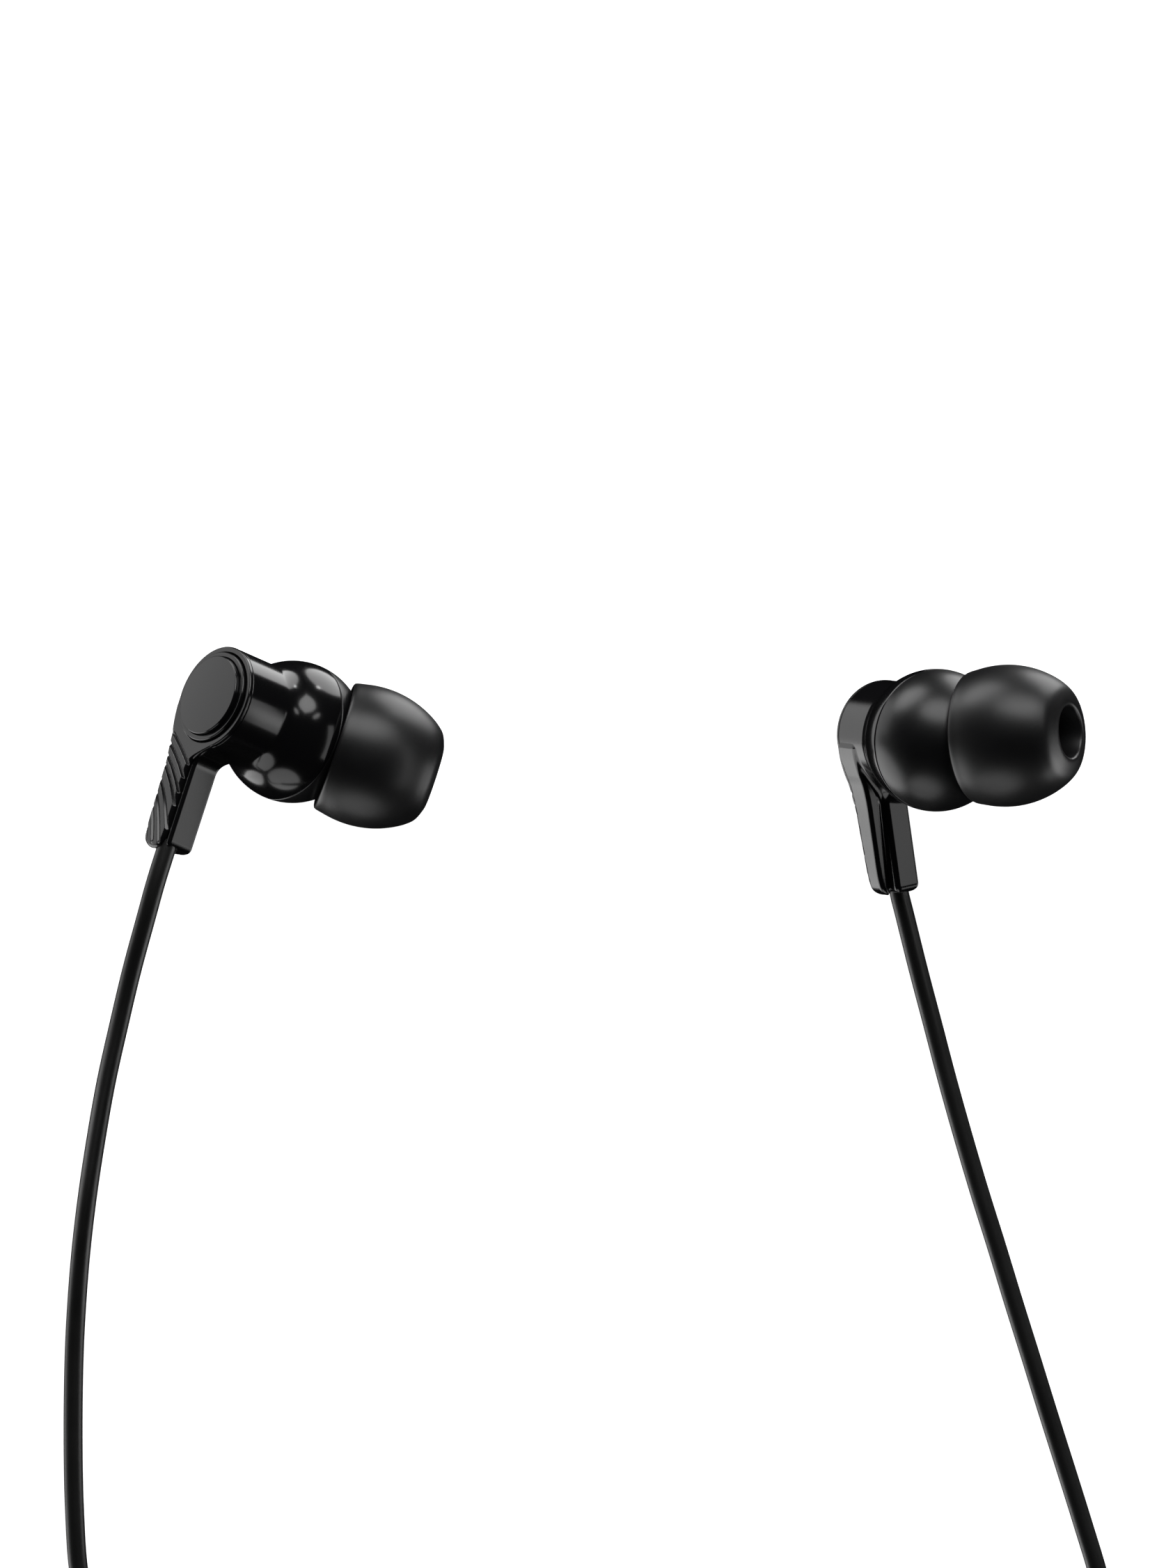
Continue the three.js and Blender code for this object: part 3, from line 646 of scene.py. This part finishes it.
def tie_distance(coil):
    """Distance to a strap round a coil's bundle, in the tie's frame: x outwards, y along the cord."""
    inner, outer = coil["tie_span"]
    bottom = STRAP / 2 + TIE_CLEARANCE
    top = coil["height"] + TIE_LIFT + STRAP / 2 + TIE_CLEARANCE
    half_x, half_z = (outer - inner) / 2, (top - bottom) / 2

    def distance(x, y, z):
        qx = np.abs(x - (inner + outer) / 2) - half_x + TIE_CORNER
        qz = np.abs(z - (top + bottom) / 2) - half_z + TIE_CORNER
        loop = np.hypot(np.maximum(qx, 0), np.maximum(qz, 0)) - TIE_CORNER
        loop = loop + np.minimum(np.maximum(qx, qz), 0)
        return rounded_cut(np.abs(loop) - STRAP / 2, np.abs(y) - TIE_WIDTH / 2, SOFT_EDGE)

    return distance


def add_splitter_and_ties():
    xs = graded_axis((SPLITTER["end"] - 0.4, 0.14), (SPLITTER["start"] + 0.4, None))
    ys = graded_axis((SPLITTER["y"] - 3, 0.12), (SPLITTER["y"] + 3, None))
    zs = graded_axis((SPLITTER["z"] - 2, 0.08), (SPLITTER["z"] + 2, None))
    for name, top in (("splitter_base", False), ("splitter_top", True)):
        points, faces, normals = surface_net(splitter_half(top), xs, ys, zs)
        piece = add_mesh(f"{name}_shape", points, faces, Matrix.Scale(MM, 4), normals)
        finish_piece(piece, "root", "satin_shell", name)
    for name, coil in (("branch_tie", BRANCH_COIL), ("main_tie", MAIN_COIL)):
        inner, outer = coil["tie_span"]
        xs = graded_axis((inner - 0.5, 0.1), (outer + 0.5, None))
        ys = graded_axis((-TIE_WIDTH / 2 - 0.2, 0.1), (TIE_WIDTH / 2 + 0.2, None))
        zs = graded_axis((-0.2, 0.1), (coil["height"] + 1.5, None))
        points, faces, normals = surface_net(tie_distance(coil), xs, ys, zs)
        place = Matrix.Translation((*[v * MM for v in coil["centre"]], 0))
        place = place @ Matrix.Rotation(math.radians(coil["tie"]), 4, "Z")
        piece = add_mesh(f"{name}_shape", points, faces, place @ Matrix.Scale(MM, 4), normals)
        finish_piece(piece, "root", "silicone", name)


def relief_profile():
    """A tapered strain relief with a row of soft ribs."""
    thin, length = RELIEF["radius"], RELIEF["length"]
    corners = [(0, 0), (thin, 0, 0.2)]
    for i in range(RELIEF["ribs"]):
        start = RELIEF["first"] + i * RELIEF["spacing"]
        radius = thin + RELIEF["flare"] * start / length
        floor = radius - RELIEF["groove"]
        corners += [
            (radius, start, 0.12), (floor, start + 0.12, 0.1), (floor, start + 0.42, 0.1),
            (radius + 0.05, start + 0.54, 0.12),
        ]
    return round_corners([*corners, (thin + RELIEF["flare"], length), (0, length)], 3)


def plug_body_profile():
    """The plug's handle with a few grip grooves."""
    radius, floor = GRIP["radius"], GRIP["groove_radius"]
    corners = [(0, 9), (2.75, 9, 0.3), (radius, 9.9, 0.6)]
    for i in range(GRIP["grooves"]):
        start = GRIP["first"] + i * GRIP["spacing"]
        corners += [
            (radius, start, 0.1), (floor, start + 0.15, 0.1), (floor, start + 0.45, 0.1),
            (radius, start + 0.6, 0.1),
        ]
    return round_corners([*corners, (radius, 22.1, 0.5), (2.7, 22.9, 0.2), (0, 22.9)], 4)


PLUG_PIECES = (  # node, profile along the plug, and slot
    ("plug_relief", relief_profile(), "cord_jacket"),
    ("plug_body", plug_body_profile(), "satin_shell"),
    ("plug_collar", round_corners([(0, 23), (2.6, 23, 0.15), (2.6, 24, 0.25), (0, 24)]), "nickel"),
    ("jack_sleeve", round_corners([(0, 24.05), (1.75, 24.05), (1.75, 32.6, 0.08), (0, 32.6)]), "nickel"),
    ("jack_insulator_rear", round_corners([(0, 32.65), (1.7, 32.65), (1.7, 33.25), (0, 33.25)]),
     "black_plastic"),
    ("jack_ring", round_corners([(0, 33.3), (1.75, 33.3, 0.08), (1.75, 34.8, 0.08), (0, 34.8)]), "nickel"),
    ("jack_insulator_front", round_corners([(0, 34.85), (1.7, 34.85), (1.7, 35.35), (0, 35.35)]),
     "black_plastic"),
    ("jack_tip", round_corners([
        (0, 35.4), (1.7, 35.4, 0.08), (1.2, 36.2, 0.3), (1.7, 37.0, 0.4), (1.4, 37.7, 0.3),
        (0.4, 38, 0.1), (0, 38),
    ]), "nickel"),
)


def add_plug():
    for name, profile, slot in PLUG_PIECES:
        points, faces = lathe(profile, 64)
        piece = add_mesh(f"{name}_shape", points, faces, PLUG_MATRIX)
        finish_piece(piece, "root", slot, name)


# ----------------------------------------------------------------- materials

BLACK = (0.0045, 0.0045, 0.005)
FINE_GRAIN = 60  # how much finer the relief's noise is than the colour's
RELIEF_DEPTH = 0.00002  # metres


def procedural(name, color, roughness, grain, metallic=0.0, variation=0.15, bump=0.0):
    """A principled material whose colour, roughness and fine relief vary with soft noise."""
    material = bpy.data.materials.new(name)
    material.use_nodes = True
    nodes, links = material.node_tree.nodes, material.node_tree.links
    shader = nodes["Principled BSDF"]
    shader.inputs["Metallic"].default_value = metallic
    where = nodes.new("ShaderNodeTexCoord")
    noise = nodes.new("ShaderNodeTexNoise")
    noise.inputs["Scale"].default_value = grain
    noise.inputs["Detail"].default_value = 3
    links.new(where.outputs["Object"], noise.inputs["Vector"])
    tint = nodes.new("ShaderNodeMix")
    tint.data_type = "RGBA"
    tint.inputs["A"].default_value = (*[c * (1 - variation) for c in color], 1)
    tint.inputs["B"].default_value = (*[c * (1 + variation) for c in color], 1)
    links.new(noise.outputs["Fac"], tint.inputs["Factor"])
    links.new(tint.outputs["Result"], shader.inputs["Base Color"])
    gloss = nodes.new("ShaderNodeMapRange")
    gloss.inputs["To Min"].default_value = roughness * (1 - variation)
    gloss.inputs["To Max"].default_value = roughness * (1 + variation)
    links.new(noise.outputs["Fac"], gloss.inputs["Value"])
    links.new(gloss.outputs["Result"], shader.inputs["Roughness"])
    if bump:
        fine = nodes.new("ShaderNodeTexNoise")
        fine.inputs["Scale"].default_value = grain * FINE_GRAIN
        links.new(where.outputs["Object"], fine.inputs["Vector"])
        relief = nodes.new("ShaderNodeBump")
        relief.inputs["Strength"].default_value = bump
        relief.inputs["Distance"].default_value = RELIEF_DEPTH
        links.new(fine.outputs["Fac"], relief.inputs["Height"])
        links.new(relief.outputs["Normal"], shader.inputs["Normal"])
    return material


materials = {
    "gloss_shell": procedural("gloss_black_plastic", BLACK, 0.15, 300, variation=0.08),
    "satin_shell": procedural("satin_black_plastic", BLACK, 0.33, 300, bump=0.1),
    "face_disc": procedural("face_disc_plastic", BLACK, 0.14, 300, variation=0.08),
    "black_plastic": procedural("moulded_black_plastic", (0.02, 0.02, 0.02), 0.45, 300, bump=0.2),
    "silicone": procedural("black_silicone", (0.005, 0.005, 0.0055), 0.38, 250, bump=0.1),
    "cord_jacket": procedural("cord_jacket", (0.007, 0.007, 0.007), 0.38, 250, bump=0.2),
    "steel": procedural("zinc_plated_steel", (0.55, 0.56, 0.57), 0.32, 600, metallic=1),
    "magnet": procedural("plated_magnet", (0.6, 0.6, 0.6), 0.25, 600, metallic=1),
    "copper": procedural("enamelled_copper", (0.62, 0.3, 0.15), 0.4, 900, metallic=1, bump=0.5),
    "film": procedural("polymer_film", (0.55, 0.5, 0.42), 0.3, 400),
    "felt": procedural("felt", (0.05, 0.05, 0.05), 0.95, 1500, variation=0.4, bump=1.0),
    "board": procedural("circuit_board", (0.03, 0.14, 0.06), 0.4, 700),
    "wire": procedural("wire_insulation", (0.4, 0.03, 0.02), 0.45, 500),
    "nickel": procedural("nickel_plate", (0.78, 0.77, 0.73), 0.16, 500, metallic=1, variation=0.25),
}


def dress_frame():
    """Gives each CAD node that stays the material of its slot."""
    slots = {part["node"]: part["material_slot"] for part in frame["record"]["subparts"]}
    for name, node in frame["nodes"].items():
        node.data.materials.clear()
        node.data.materials.append(materials[slots[name]])
        node.data.shade_smooth()


# --------------------------------------------------------------------- stage

FLOOR_HEIGHT = -0.00005  # metres, just under the cords
FLOOR_HALF_SIDE = 3.0  # metres
LIGHTS_AIM = (-0.006, 0.003, 0.01)  # metres
SOFTBOX_DISTANCE = 1.0  # metres
SOFTBOXES = (  # azimuth, elevation, width and height of the light in degrees, radiance and shape
    ("rear_right", 58, -27, 38, 50, 2.2, "ELLIPSE"),
    ("high_rear_right", 82, 40, 56, 36, 2.6, "ELLIPSE"),
    ("rear", 120, 0, 42, 34, 2.5, "ELLIPSE"),
    ("rear_left", 162, -20, 46, 44, 1.0, "RECTANGLE"),
    ("left", -148, -19, 50, 50, 1.6, "ELLIPSE"),
    ("front_left", -102, 3, 38, 46, 1.0, "ELLIPSE"),
    ("front_right", -22, -5, 44, 40, 1.5, "ELLIPSE"),
    ("small_right", 61, -2, 5, 5, 8.0, "ELLIPSE"),
    ("small_high", 34, 43, 6, 14, 2.2, "ELLIPSE"),
)
CARDS = (  # small lit cards beside the buds: place, target and size in millimetres, and radiance
    ("right_card", (-7.5, -3.5, 20.3), (-33.0, 0.0, 13.6), (21.0, 4.2), 1.0),
    ("left_card", (46.5, -8.5, 17.5), (25.0, -5.6, 3.6), (15.0, 8.0), 1.1),
)


def add_floor():
    """A plain white floor. It isn't reflected in the gloss, as on a product shot's cut-out background."""
    mesh = bpy.data.meshes.new("floor")
    corners = [(-1, -1), (1, -1), (1, 1), (-1, 1)]
    points = [(x * FLOOR_HALF_SIDE, y * FLOOR_HALF_SIDE, FLOOR_HEIGHT) for x, y in corners]
    mesh.from_pydata(points, [], [(0, 1, 2, 3)])
    floor = bpy.data.objects.new("floor", mesh)
    bpy.context.scene.collection.objects.link(floor)
    material = bpy.data.materials.new("white_floor")
    material.use_nodes = True
    shader = material.node_tree.nodes["Principled BSDF"]
    shader.inputs["Base Color"].default_value = (0.8, 0.8, 0.8, 1)
    shader.inputs["Roughness"].default_value = 0.9
    shader.inputs["Emission Color"].default_value = (1, 1, 1, 1)
    shader.inputs["Emission Strength"].default_value = 1.0
    mesh.materials.append(material)
    floor.visible_glossy = floor.visible_diffuse = floor.visible_shadow = False


def add_light(name, place, target, size, radiance, shape="RECTANGLE"):
    """A soft area light at a place, in metres, that faces a target and isn't seen itself."""
    data = bpy.data.lights.new(name, "AREA")
    data.shape = shape
    data.size, data.size_y = size
    data.energy = 4 * radiance * size[0] * size[1]  # its power is about 4 times radiance times area
    light = bpy.data.objects.new(name, data)
    light.location = place
    light.rotation_euler = (Vector(place) - Vector(target)).to_track_quat("Z", "Y").to_euler()
    light.visible_camera = False
    bpy.context.scene.collection.objects.link(light)


def add_studio_lights():
    middle = Vector(LIGHTS_AIM)
    for name, azimuth, elevation, width, height, radiance, shape in SOFTBOXES:
        a, e = math.radians(azimuth), math.radians(elevation)
        away = Vector((math.cos(a) * math.cos(e), math.sin(a) * math.cos(e), math.sin(e)))
        size = [2 * SOFTBOX_DISTANCE * math.tan(math.radians(angle) / 2) for angle in (width, height)]
        add_light(name, middle + away * SOFTBOX_DISTANCE, middle, size, radiance, shape)
    for name, place, target, size, radiance in CARDS:
        add_light(name, Vector(place) * MM, Vector(target) * MM, [v * MM for v in size], radiance)


def add_world():
    """White behind everything, and dark to reflections and bounced light."""
    world = bpy.data.worlds.new("studio")
    bpy.context.scene.world = world
    world.use_nodes = True
    world.node_tree.nodes["Background"].inputs["Color"].default_value = (1, 1, 1, 1)
    world.node_tree.nodes["Background"].inputs["Strength"].default_value = 1.0
    world.cycles_visibility.glossy = world.cycles_visibility.diffuse = False


# ----------------------------------------------------------------- the scene

add_camera()
cords = add_cords()
add_splitter_and_ties()
add_plug()
for side, route in (("right", RIGHT_ROUTE), ("left", LEFT_ROUTE)):
    finish_piece(cords[side], "root", "cord_jacket", f"{side}_cord", f"{side}_tail", f"{side}_cord_anchor")
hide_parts("branch_coil")
finish_piece(cords["main"], "root", "cord_jacket", "main_lead", "main_coil", "main_tail")
add_buds()
dress_frame()
add_floor()
add_world()
add_studio_lights()
bpy.context.scene.view_settings.view_transform = "Standard"
